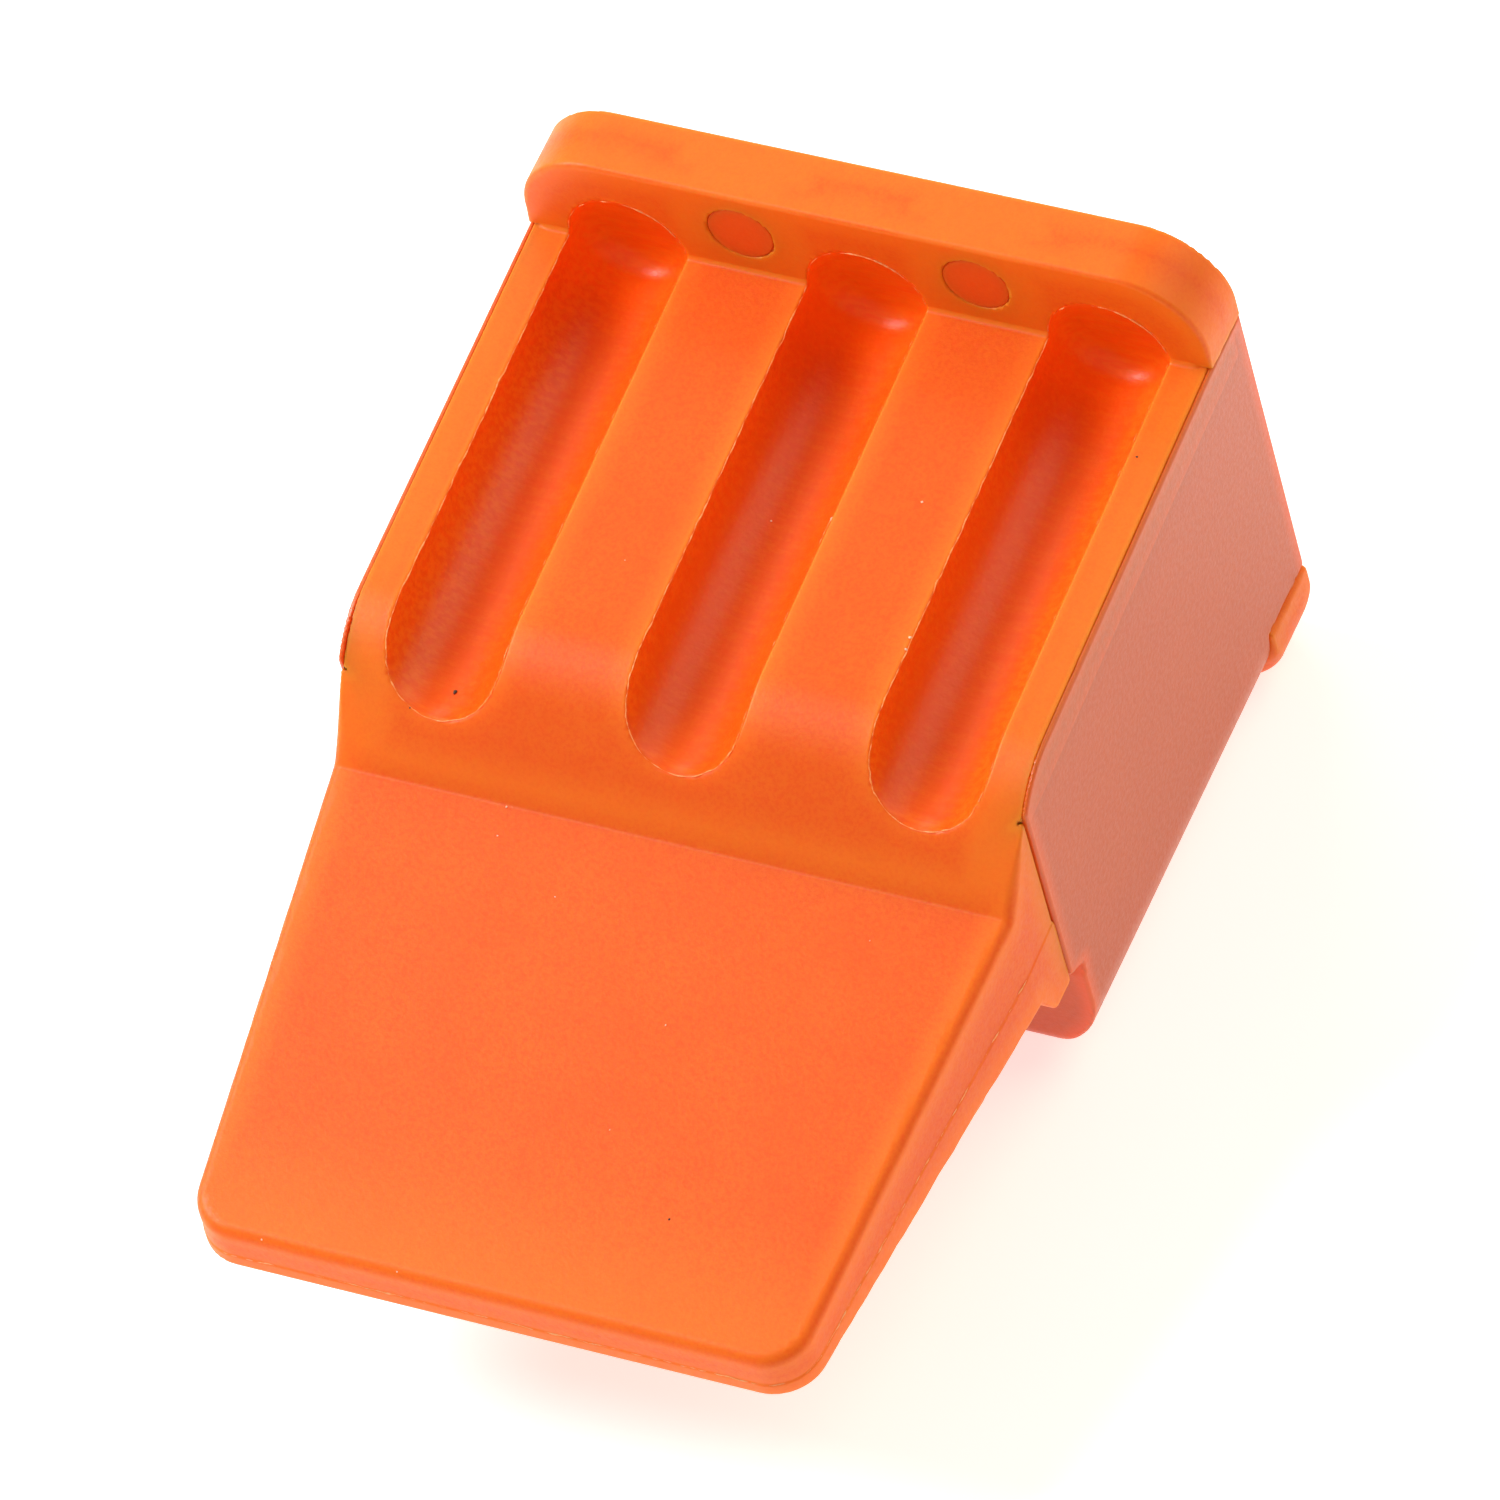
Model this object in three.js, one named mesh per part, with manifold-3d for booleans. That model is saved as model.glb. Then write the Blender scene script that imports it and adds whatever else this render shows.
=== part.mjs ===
// Felling wedge: a moulded wedge body that hooks and pins into a lower saddle, with a heel bar behind.
// Millimetres, +Z up. X is the width, the thin edge of the tongue points to -Y, the striking flange is at +Y.
// The origin is the middle of the footprint, on the surface that the wedge stands on.
import * as THREE from "three";
import { mergeVertices } from "three/addons/utils/BufferGeometryUtils.js";
import Module from "manifold-3d";

const wasm = await Module();
wasm.setup();

// Driving dimensions, overall
const WIDTH = 60;
const LENGTH = 92.8;
const HEIGHT = 49.5;
const GAP = 0.3; // clearance between neighbouring pieces
const ARC_STEPS = 10; // segments in each rounded corner of an outline
const ROUND_STEPS = 48; // segments round a turned or round shape
const BALL_STEPS = 12;
const FILLET_STEPS = 6;
const FAR = 200; // longer than the object, for cutters that run right through
const BITE = 1; // how far joined shapes reach into each other, and cutters past a face

// Flange and deck
const FLANGE_THICKNESS = 5.9;
const FLANGE_RISE = 9.2; // above the deck
const FLANGE_RADIUS = 6.6;
const DECK_SLOPE = 0.07; // fall per millimetre towards the tongue
const DECK_LENGTH = 39; // flange to the meeting of the deck and front planes
const DECK_EDGE_RADIUS = 9;
const SLAB_UPSTAND = 2; // how far the deck's slab runs up inside the flange
const SLAB_REACH = 3; // how far the slab runs into the root of the tongue
const FRONT_SLOPE = 1.2;

// Tongue
const CREASE_Y = -46.8; // from the front face of the flange, as all lengths below
const TONGUE_TOP_SLOPE = 0.178;
const TONGUE_HALF_WIDTH_ROOT = 29.7;
const TONGUE_HALF_WIDTH_TIP = 26.1;
const TONGUE_CORNER_RADIUS = 4;
const TIP_THICKNESS = 4.4;
const TIP_EDGE_RADIUS = 1.2;
const TONGUE_UNDERSIDE_SLOPE = 0.02;
const HOOK_FRONT_Y = -46.1; // where the hook starts to drop under the tongue's root
const HOOK_TOE_Y = -44.3;
const HOOK_CLEARANCE = 0.7; // between the hook's foot and the top of the notch

// Saddle
const PLATE_FRONT_Y = -41.4;
const LIP_FRONT_Y = -39.6;
const LIP_EDGE_RADIUS = 2.4;
const NOTCH_TOP = -26.3; // below the deck at the flange, as all heights below
const NOTCH_DEPTH = 2.1; // back from the front edge of the side walls
const NOTCH_TIP_DROP = 1;
const NOTCH_DROP = 2.6;
const PLATE_TOP_RADIUS = 3.5; // side walls' front upper corner
const PLATE_TOP_DROP = 1.7;
const PLATE_TOP_SINK = 0.2;
const WALL = 3;
const BACK_WALL = 2;
const FLOOR = -24.3; // top of the saddle's floor
const SADDLE_CORNER_RADIUS = 8;
const PLATE_LIP = 0.4; // thickness of a side wall where it meets the deck's edge
const PLATE_LIP_HEIGHT = 3; // below this the wall thickens inwards at 45 degrees

// Grooves in the deck
const GROOVE_RADIUS = 5.2;
const GROOVE_PITCH = 21.1;
const GROOVE_FRONT_Y = -41.7; // centre of the round front end
const GROOVE_BLIND_DEPTH = 2.2; // how far each groove runs into the flange
const GROOVE_COUNT = 3;

// Lock pins, through the flange and the saddle's tabs
const PIN_HEAD_RADIUS = 2.85;
const PIN_HEAD_LENGTH = 1.9;
const PIN_SHANK_RADIUS = 1.3;
const PIN_RECESS = 0.2;
const PIN_X = 10.3;
const PIN_RISE = 4.6;
const TAB_HALF_WIDTH = 4;
const TAB_RISE = 7;

// Heel bar
const HEEL_LENGTH = 7.5;
const HEEL_HEIGHT = 7.8;
const HEEL_CORNER_RADIUS = 5.4;
const PEG_RADIUS = 2.2;
const PEG_LENGTH = 4.4;
const PEG_X = 18;

// Derived positions in the working frame: y = 0 on the flange's front face, z = 0 on the deck beside it
const BACK_Y = FLANGE_THICKNESS;
const TIP_Y = BACK_Y - LENGTH;
const BOTTOM_Z = FLANGE_RISE - HEIGHT;
const HALF = WIDTH / 2;
const DECK_ANGLE = Math.atan(DECK_SLOPE);
const deckZ = (y) => DECK_SLOPE * y;
const frontZ = (y) => deckZ(-DECK_LENGTH) + FRONT_SLOPE * (y + DECK_LENGTH);
const CREASE_Z = frontZ(CREASE_Y);
const tongueTopZ = (y) => CREASE_Z + TONGUE_TOP_SLOPE * (y - CREASE_Y);
const TIP_BOTTOM_Z = tongueTopZ(TIP_Y) - TIP_THICKNESS;
const undersideZ = (y) => TIP_BOTTOM_Z - TONGUE_UNDERSIDE_SLOPE * (y - TIP_Y);
const HEEL_FRONT_Y = BACK_Y - HEEL_LENGTH;
const HEEL_TOP_Z = BOTTOM_Z + HEEL_HEIGHT;

// A closed geometry as a solid that can be joined and cut.
function solid(geometry) {
  const plain = geometry.clone();
  plain.deleteAttribute("normal");
  plain.deleteAttribute("uv");
  const merged = mergeVertices(plain, 1e-4);
  return new wasm.Manifold(
    new wasm.Mesh({
      numProp: 3,
      vertProperties: merged.attributes.position.array,
      triVerts: new Uint32Array(merged.index.array),
    }),
  );
}

// A joined or cut solid as a geometry with flat normals.
function geometryOf(made) {
  const mesh = made.getMesh();
  const indexed = new THREE.BufferGeometry();
  indexed.setAttribute("position", new THREE.BufferAttribute(mesh.vertProperties, 3));
  indexed.setIndex(new THREE.BufferAttribute(mesh.triVerts, 1));
  const flat = indexed.toNonIndexed();
  flat.computeVertexNormals();
  return flat;
}

// An outline whose corners are given as [u, v, radius], radius 0 for a sharp corner.
function outline(corners) {
  const points = [];
  corners.forEach(([u, v, radius], i) => {
    const here = new THREE.Vector2(u, v);
    if (!radius) {
      points.push(here);
      return;
    }
    const before = corners[(i + corners.length - 1) % corners.length];
    const after = corners[(i + 1) % corners.length];
    const back = new THREE.Vector2(before[0], before[1]).sub(here).normalize();
    const on = new THREE.Vector2(after[0], after[1]).sub(here).normalize();
    const half = Math.acos(back.dot(on)) / 2;
    const centre = back.clone().add(on).normalize().multiplyScalar(radius / Math.sin(half)).add(here);
    const start = back.multiplyScalar(radius / Math.tan(half)).add(here).sub(centre);
    const end = on.multiplyScalar(radius / Math.tan(half)).add(here).sub(centre);
    const sweep = Math.atan2(start.cross(end), start.dot(end));
    for (let k = 0; k <= ARC_STEPS; k++) {
      points.push(start.clone().rotateAround(new THREE.Vector2(), (sweep * k) / ARC_STEPS).add(centre));
    }
  });
  return new THREE.Shape(points);
}

function prism(shape, depth) {
  return new THREE.ExtrudeGeometry(shape, { depth, bevelEnabled: false, steps: 1 });
}

// A side outline in (y, z), extruded across the width from x0 to x1.
function acrossX(corners, x0, x1) {
  const turn = new THREE.Matrix4().set(0, 0, 1, x0, 1, 0, 0, 0, 0, 1, 0, 0, 0, 0, 0, 1);
  return solid(prism(outline(corners), x1 - x0).applyMatrix4(turn));
}

// A front outline in (x, z), extruded along the length from y0 up to y1, and turned by tilt about X.
function alongY(corners, y0, y1, tilt = 0) {
  const turn = new THREE.Matrix4().set(1, 0, 0, 0, 0, 0, -1, y1, 0, 1, 0, 0, 0, 0, 0, 1);
  const tipped = new THREE.Matrix4().makeRotationX(tilt);
  return solid(prism(outline(corners), y1 - y0).applyMatrix4(turn).applyMatrix4(tipped));
}

// A plan outline in (x, y), extruded upwards from z0 to z1.
function upZ(corners, z0, z1) {
  return solid(prism(outline(corners), z1 - z0).translate(0, 0, z0));
}

function box(x0, x1, y0, y1, z0, z1) {
  const shape = new THREE.BoxGeometry(x1 - x0, y1 - y0, z1 - z0);
  return solid(shape.translate((x0 + x1) / 2, (y0 + y1) / 2, (z0 + z1) / 2));
}

// A turned solid about the Y axis: profile points are [radius, y] and start and end on the axis.
function turned(profile) {
  const points = profile.map(([radius, y]) => new THREE.Vector2(radius, y));
  return new THREE.LatheGeometry(points, ROUND_STEPS);
}

// The arc of a turned profile about (radius, y), from one angle to another, in degrees.
function arc(centreRadius, centreY, radius, from, to, steps) {
  return Array.from({ length: steps + 1 }, (_, k) => {
    const angle = THREE.MathUtils.degToRad(from + ((to - from) * k) / steps);
    const reach = centreRadius + radius * Math.cos(angle);
    return [Math.abs(reach) < 1e-9 ? 0 : reach, centreY + radius * Math.sin(angle)];
  });
}

const both = (make) => [make(-1), make(1)];
const joined = (solids) => solids.reduce((sum, next) => sum.add(next));

// One groove: a round channel whose axis lies in the deck, with a ball end in front and a filleted
// flat end inside the flange.
function grooveCutter(x) {
  const fillet = GROOVE_BLIND_DEPTH;
  const profile = [
    ...arc(0, GROOVE_FRONT_Y, GROOVE_RADIUS, -90, 0, BALL_STEPS),
    ...arc(GROOVE_RADIUS - fillet, GROOVE_BLIND_DEPTH - fillet, fillet, 0, 90, FILLET_STEPS),
    [0, GROOVE_BLIND_DEPTH],
  ];
  return solid(turned(profile).rotateX(DECK_ANGLE).translate(x, 0, 0));
}

function pinShape(growth) {
  const front = PIN_RECESS - (growth ? BITE : 0);
  const profile = [
    [0, front],
    [PIN_HEAD_RADIUS + growth, front],
    [PIN_HEAD_RADIUS + growth, PIN_RECESS + PIN_HEAD_LENGTH + growth],
    [PIN_SHANK_RADIUS + growth, PIN_RECESS + PIN_HEAD_LENGTH + growth],
    [PIN_SHANK_RADIUS + growth, BACK_Y + growth],
    [0, BACK_Y + growth],
  ];
  return turned(profile);
}

function pinHole(side) {
  return solid(pinShape(GAP).translate(side * PIN_X, 0, PIN_RISE));
}

// A tab of the saddle behind the flange, grown on every free side for the pocket that takes it.
function tab(side, growth) {
  return box(
    side * PIN_X - TAB_HALF_WIDTH - growth,
    side * PIN_X + TAB_HALF_WIDTH + growth,
    BACK_Y - BACK_WALL - growth,
    BACK_Y + growth,
    -BITE,
    TAB_RISE + growth,
  );
}

// The side view of the wedge body: deck, rounded edge, front slope, tongue, and the hook under its root.
function bodySide() {
  const slabBack = BACK_Y - BACK_WALL - GAP;
  const slabBottom = FLOOR + GAP;
  const hookBack = LIP_FRONT_Y - GAP;
  return [
    [slabBack, slabBottom, 0],
    [slabBack, SLAB_UPSTAND, 0],
    [0, SLAB_UPSTAND, 0],
    [0, 0, 0],
    [-DECK_LENGTH, deckZ(-DECK_LENGTH), DECK_EDGE_RADIUS],
    [CREASE_Y, CREASE_Z, 0],
    [TIP_Y, tongueTopZ(TIP_Y), TIP_EDGE_RADIUS],
    [TIP_Y, TIP_BOTTOM_Z, TIP_EDGE_RADIUS],
    [HOOK_FRONT_Y, undersideZ(HOOK_FRONT_Y), 0],
    [HOOK_TOE_Y, NOTCH_TOP - HOOK_CLEARANCE, 0],
    [hookBack, NOTCH_TOP - HOOK_CLEARANCE, 0],
    [hookBack, slabBottom, 0],
  ];
}

function wedgeBody() {
  const inner = HALF - WALL - GAP;
  const edge = HALF - PLATE_LIP - GAP;
  const shoulder = PLATE_FRONT_Y - GAP;
  const root = TONGUE_HALF_WIDTH_ROOT;
  const tip = TONGUE_HALF_WIDTH_TIP;
  const front = upZ(
    [
      [-root, shoulder, 0],
      [-root, CREASE_Y, 0],
      [-tip, TIP_Y, TONGUE_CORNER_RADIUS],
      [tip, TIP_Y, TONGUE_CORNER_RADIUS],
      [root, CREASE_Y, 0],
      [root, shoulder, 0],
    ],
    -FAR,
    FAR,
  );
  const slab = alongY(
    [
      [-inner, -FAR, 0],
      [inner, -FAR, 0],
      [inner, inner - edge - PLATE_LIP_HEIGHT, 0],
      [edge, -PLATE_LIP_HEIGHT, 0],
      [edge, SLAB_UPSTAND, 0],
      [-edge, SLAB_UPSTAND, 0],
      [-edge, -PLATE_LIP_HEIGHT, 0],
      [-inner, inner - edge - PLATE_LIP_HEIGHT, 0],
    ],
    shoulder - SLAB_REACH,
    FAR,
    DECK_ANGLE,
  );
  const flange = alongY(
    [
      [-HALF, GAP, 0],
      [HALF, GAP, 0],
      [HALF, FLANGE_RISE, FLANGE_RADIUS],
      [-HALF, FLANGE_RISE, FLANGE_RADIUS],
    ],
    0,
    BACK_Y,
  );
  const cuts = joined([
    ...grooveXs().map(grooveCutter),
    ...both(pinHole),
    ...both((side) => tab(side, GAP)),
  ]);
  return acrossX(bodySide(), -HALF, HALF).intersect(front.add(slab)).add(flange).subtract(cuts);
}

function grooveXs() {
  return Array.from({ length: GROOVE_COUNT }, (_, i) => (i - (GROOVE_COUNT - 1) / 2) * GROOVE_PITCH);
}

// The saddle: side walls flush with the flange, a floor, a back wall with two tabs, and a front lip.
function saddle() {
  const side = acrossX(
    [
      [BACK_Y, BOTTOM_Z, 0],
      [BACK_Y, 0, 0],
      [0, 0, 0],
      [-DECK_LENGTH, deckZ(-DECK_LENGTH) - PLATE_TOP_SINK, PLATE_TOP_RADIUS],
      [PLATE_FRONT_Y, deckZ(-DECK_LENGTH) - PLATE_TOP_DROP, 0],
      [PLATE_FRONT_Y, NOTCH_TOP, 0],
      [PLATE_FRONT_Y + NOTCH_DEPTH, NOTCH_TOP - NOTCH_TIP_DROP, 0],
      [LIP_FRONT_Y, NOTCH_TOP - NOTCH_DROP, 0],
      [LIP_FRONT_Y, BOTTOM_Z, LIP_EDGE_RADIUS],
    ],
    -HALF,
    HALF,
  );
  const section = alongY(
    [
      [-HALF, BOTTOM_Z, SADDLE_CORNER_RADIUS],
      [HALF, BOTTOM_Z, SADDLE_CORNER_RADIUS],
      [HALF, FAR, 0],
      [-HALF, FAR, 0],
    ],
    -FAR,
    FAR,
  );
  const inner = HALF - WALL;
  const lip = HALF - PLATE_LIP;
  const backWallFace = BACK_Y - BACK_WALL;
  const channel = alongY(
    [
      [-inner, -FAR, 0],
      [inner, -FAR, 0],
      [inner, inner - lip - PLATE_LIP_HEIGHT, 0],
      [lip, -PLATE_LIP_HEIGHT, 0],
      [lip, BITE, 0],
      [-lip, BITE, 0],
      [-lip, -PLATE_LIP_HEIGHT, 0],
      [-inner, inner - lip - PLATE_LIP_HEIGHT, 0],
    ],
    -FAR,
    FAR,
    DECK_ANGLE,
  ).intersect(box(-FAR, FAR, -FAR, backWallFace, FLOOR, FAR));
  const hookRoom = box(-inner, inner, -FAR, LIP_FRONT_Y, NOTCH_TOP - NOTCH_DROP, FAR);
  const rebate = box(-FAR, FAR, HEEL_FRONT_Y - GAP, FAR, -FAR, HEEL_TOP_Z + GAP);
  const sockets = both((s) => peg(s, GAP));
  const shell = side.intersect(section).subtract(joined([channel, hookRoom, rebate, ...sockets]));
  const tabs = joined(both((s) => tab(s, 0)));
  return shell.add(tabs).subtract(joined(both(pinHole)));
}

// A round peg on top of the heel bar, grown for the socket that takes it.
function peg(side, growth) {
  const foot = HEEL_TOP_Z - BITE;
  const length = BITE + PEG_LENGTH + growth;
  const radius = PEG_RADIUS + growth;
  const shape = new THREE.CylinderGeometry(radius, radius, length, ROUND_STEPS);
  const y = (HEEL_FRONT_Y + BACK_Y) / 2;
  return solid(shape.rotateX(Math.PI / 2).translate(side * PEG_X, y, foot + length / 2));
}

function heelBar() {
  const section = alongY(
    [
      [-HALF, BOTTOM_Z, HEEL_CORNER_RADIUS],
      [HALF, BOTTOM_Z, HEEL_CORNER_RADIUS],
      [HALF, HEEL_TOP_Z, 0],
      [-HALF, HEEL_TOP_Z, 0],
    ],
    HEEL_FRONT_Y,
    BACK_Y,
  );
  return section.add(joined(both((s) => peg(s, 0))));
}

// Materials: one orange moulding plastic, in the finish that each piece has.
const plastic = (color, roughness) => new THREE.MeshStandardMaterial({ color, roughness, metalness: 0 });

const object = new THREE.Group();
object.name = "felling_wedge";
const frame = new THREE.Group();
frame.position.set(0, LENGTH / 2 - BACK_Y, -BOTTOM_Z);
object.add(frame);

function place(name, geometry, material) {
  const mesh = new THREE.Mesh(geometry, material);
  mesh.name = name;
  frame.add(mesh);
  return mesh;
}

place("wedge_body", geometryOf(wedgeBody()), plastic(0xf4682c, 0.5));
place("saddle", geometryOf(saddle()), plastic(0xe8693a, 0.45));
place("heel_bar", geometryOf(heelBar()), plastic(0xf05a1e, 0.5));
both((side) => {
  const name = side < 0 ? "lock_pin_left" : "lock_pin_right";
  const pin = place(name, pinShape(0), plastic(0xe4541c, 0.55));
  pin.position.set(side * PIN_X, 0, PIN_RISE);
});

export default object;
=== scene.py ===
import math

import bpy
import numpy as np
from mathutils import Matrix, Vector

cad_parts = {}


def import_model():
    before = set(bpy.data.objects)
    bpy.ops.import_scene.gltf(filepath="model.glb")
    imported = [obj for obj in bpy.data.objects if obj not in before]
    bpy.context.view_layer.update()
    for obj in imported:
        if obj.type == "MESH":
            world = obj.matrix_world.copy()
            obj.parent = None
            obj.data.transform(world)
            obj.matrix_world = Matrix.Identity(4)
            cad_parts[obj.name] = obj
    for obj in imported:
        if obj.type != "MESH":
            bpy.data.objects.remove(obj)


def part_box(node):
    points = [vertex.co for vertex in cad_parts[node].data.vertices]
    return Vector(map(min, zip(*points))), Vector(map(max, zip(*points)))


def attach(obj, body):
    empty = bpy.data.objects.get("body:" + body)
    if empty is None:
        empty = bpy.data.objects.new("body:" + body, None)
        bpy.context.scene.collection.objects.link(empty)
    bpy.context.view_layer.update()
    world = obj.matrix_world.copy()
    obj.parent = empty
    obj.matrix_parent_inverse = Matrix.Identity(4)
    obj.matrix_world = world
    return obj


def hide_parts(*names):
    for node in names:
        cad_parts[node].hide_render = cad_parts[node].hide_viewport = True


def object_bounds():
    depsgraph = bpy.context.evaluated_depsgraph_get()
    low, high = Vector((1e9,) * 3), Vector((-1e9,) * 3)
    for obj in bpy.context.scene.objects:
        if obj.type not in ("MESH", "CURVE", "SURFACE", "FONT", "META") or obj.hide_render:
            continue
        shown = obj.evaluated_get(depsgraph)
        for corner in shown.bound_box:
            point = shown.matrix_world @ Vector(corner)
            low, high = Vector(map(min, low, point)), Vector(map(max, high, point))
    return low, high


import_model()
cad_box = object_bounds()

# The felling wedge's looks. Sizes are millimetres in the working frame of the CAD: y = 0 is the
# front face of the flange, z = 0 is the deck beside it, x = 0 is the middle, and the tongue points
# to -y. metres() takes them to the row frame.
MM = 0.001
HALF = 30.0  # half of the width
BACK_Y = 5.9  # back face, and so the flange's thickness
FLANGE_RISE = 9.2  # height of the flange above the deck
FLANGE_RADIUS = 7.2  # its upper corners
BOTTOM_Z = -40.3
DECK_SLOPE = 0.07
DECK_ANGLE = math.atan(DECK_SLOPE)
DECK_END_Y = -39.0  # where the planes of the deck and of the front slope meet
DECK_EDGE_RADIUS = 9.0
FRONT_SLOPE = 1.2
CREASE_Y = -46.8  # where the front slope meets the tongue
TONGUE_SLOPE = 0.178
TIP_Y = BACK_Y - 92.8
TIP_THICKNESS = 4.4
ROOT_HALF, TIP_HALF = 29.7, 26.4  # half widths of the tongue
ROOT_RADIUS, TIP_RADIUS = 6.0, 4.0  # the tongue's corners seen from above
CHIN_Y, CHIN_Z = -46.1, -24.0  # where the tongue's underside turns down to the hook
HOOK_FRONT_Y = -44.3
PARTING_Z, PARTING_SLOPE = -19.4, 0.071  # the mould's parting line: height at the crease, rise
MISMATCH = 0.1  # step between the two halves of the mould
PLATE_FRONT_Y = -41.4  # front edge of the side walls
LIP_FRONT_Y = -39.6  # front face of the saddle below the notch
NOTCH_TOP = -26.3
LIP_TOP = NOTCH_TOP - 2.6
WALL = 3.0
BACK_WALL = 2.0
FLOOR = -24.3  # top of the saddle's floor
PLATE_LIP = 0.42  # the light strip beside the deck: the top of a side wall
LIP_HEIGHT = 3.0  # depth below the deck where that strip starts to widen to the wall
SADDLE_RADIUS = 8.0  # the saddle's lower corners
SEAM = 0.12  # visible gap between two pieces
DECK_SEAM = 0.03  # and beside the deck, where they fit closer
GROOVE_RADIUS = 5.2
GROOVE_FRONT_Y = -41.7  # centre of the ball end
GROOVE_BLIND = 2.2  # depth of a groove's end inside the flange
GROOVE_XS = (-21.1, 0.0, 21.1)
PIN_RADIUS, PIN_X, PIN_Z, PIN_BACK = 2.85, 10.3, 4.6, 2.2
PIN_RECESS = 0.06  # the pins' faces lie this far behind the flange's
TAB_HALF, TAB_TOP = 4.0, 7.0
HEEL_Y, HEEL_TOP, HEEL_RADIUS = BACK_Y - 7.5, BOTTOM_Z + 7.8, 5.4
HEEL_PROUD = 0.2  # the heel bar stands this far out of the saddle's sides

WEDGE_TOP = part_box("wedge_body")[1]
ORIGIN = Vector((0, WEDGE_TOP.y - BACK_Y * MM, WEDGE_TOP.z - FLANGE_RISE * MM))


def metres(points):
    """Working millimetres to the row frame's metres."""
    return np.asarray(points, float) * MM + np.array(ORIGIN)


def deck_z(y):
    return DECK_SLOPE * y


CREASE_Z = deck_z(DECK_END_Y) + FRONT_SLOPE * (CREASE_Y - DECK_END_Y)


def tongue_z(y):
    return CREASE_Z + TONGUE_SLOPE * (y - CREASE_Y)


TIP_BOTTOM = tongue_z(TIP_Y) - TIP_THICKNESS


# ---------------------------------------------------------------- outlines and distances

def rounded(corners, step=0.25):
    """A closed outline whose corners are (u, v, radius), as points."""
    points = []
    for i, (u, v, radius) in enumerate(corners):
        here = np.array([u, v], float)
        if radius == 0:
            points.append(here)
            continue
        back = np.array(corners[i - 1][:2], float) - here
        on = np.array(corners[(i + 1) % len(corners)][:2], float) - here
        back /= np.linalg.norm(back)
        on /= np.linalg.norm(on)
        half = math.acos(np.clip(back @ on, -1, 1)) / 2
        middle = (back + on) / np.linalg.norm(back + on)
        centre = here + middle * radius / math.sin(half)
        start = here + back * radius / math.tan(half) - centre
        end = here + on * radius / math.tan(half) - centre
        sweep = math.atan2(start[0] * end[1] - start[1] * end[0], start @ end)
        steps = max(4, int(abs(sweep) * radius / step))
        for k in range(steps + 1):
            a = sweep * k / steps
            c, s = math.cos(a), math.sin(a)
            points.append(centre + (start[0] * c - start[1] * s, start[0] * s + start[1] * c))
    return np.array(points)


def outline_distance(points, u, v):
    """Signed distance in the plane from (u, v) to a closed outline, negative inside."""
    nearest = np.full(np.broadcast(u, v).shape, np.inf)
    inside = np.zeros(nearest.shape, bool)
    for (au, av), (bu, bv) in zip(points, np.roll(points, -1, axis=0)):
        eu, ev = bu - au, bv - av
        wu, wv = u - au, v - av
        along = np.clip((wu * eu + wv * ev) / (eu * eu + ev * ev + 1e-12), 0, 1)
        nearest = np.minimum(nearest, (wu - eu * along) ** 2 + (wv - ev * along) ** 2)
        above, below, left = v >= av, v < bv, eu * wv > ev * wu
        inside ^= (above & below & left) | (~above & ~below & ~left)
    return np.where(inside, -1, 1) * np.sqrt(nearest)


def common(a, b, r):
    """What two solids share, with the edge between them rounded by r."""
    return np.minimum(-r, np.maximum(a, b)) + np.hypot(np.maximum(a + r, 0), np.maximum(b + r, 0))


def merged(a, b, r):
    """Two solids joined, with a fillet r between them."""
    return np.maximum(r, np.minimum(a, b)) - np.hypot(np.maximum(r - a, 0), np.maximum(r - b, 0))


def cut(a, b, r):
    """The first solid without the second, with the new edge rounded by r."""
    return common(a, -b, r)


def between(value, low, high):
    """0 below low, 1 above high, and smooth in between."""
    t = np.clip((value - low) / (high - low), 0, 1)
    return t * t * (3 - 2 * t)


def box_distance(x, y, z, low, high):
    reach = [np.maximum(a - v, v - b) for v, a, b in zip((x, y, z), low, high)]
    return np.maximum(np.maximum(reach[0], reach[1]), reach[2])


def deck_frame(y, z):
    """(y, z) turned so that the deck is the plane 0 of the second value."""
    c, s = math.cos(DECK_ANGLE), math.sin(DECK_ANGLE)
    return y * c + z * s, z * c - y * s


# ---------------------------------------------------------------- the pieces as distances

SLAB_BACK = BACK_Y - BACK_WALL - SEAM
SLAB_TOP = 2.0  # behind CORE_Y, where the flange covers it
CORE_Y = 0.5
HOOK_BACK = LIP_FRONT_Y - SEAM
HOOK_BOTTOM = NOTCH_TOP - 0.7
PAST_TIP_Y = TIP_Y - 3  # BODY_PLAN cuts the tongue off before the side outline ends
BODY_SIDE = rounded([
    (SLAB_BACK, FLOOR + SEAM, 0),
    (SLAB_BACK, SLAB_TOP, 0),
    (CORE_Y, SLAB_TOP, 0),
    (CORE_Y, deck_z(CORE_Y), 0),
    (DECK_END_Y, deck_z(DECK_END_Y), DECK_EDGE_RADIUS),
    (CREASE_Y, CREASE_Z, 0.5),
    (PAST_TIP_Y, tongue_z(PAST_TIP_Y), 0),
    (PAST_TIP_Y, TIP_BOTTOM + 0.06, 0),
    (CHIN_Y, CHIN_Z, 0.5),
    (HOOK_FRONT_Y, HOOK_BOTTOM, 0.6),
    (HOOK_BACK, HOOK_BOTTOM, 0.3),
    (HOOK_BACK, FLOOR + SEAM, 0),
])
BODY_PLAN = rounded([
    (-ROOT_HALF, PLATE_FRONT_Y - SEAM, 0),
    (-ROOT_HALF, CREASE_Y, ROOT_RADIUS),
    (-TIP_HALF, TIP_Y, TIP_RADIUS),
    (TIP_HALF, TIP_Y, TIP_RADIUS),
    (ROOT_HALF, CREASE_Y, ROOT_RADIUS),
    (ROOT_HALF, PLATE_FRONT_Y - SEAM, 0),
])
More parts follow.
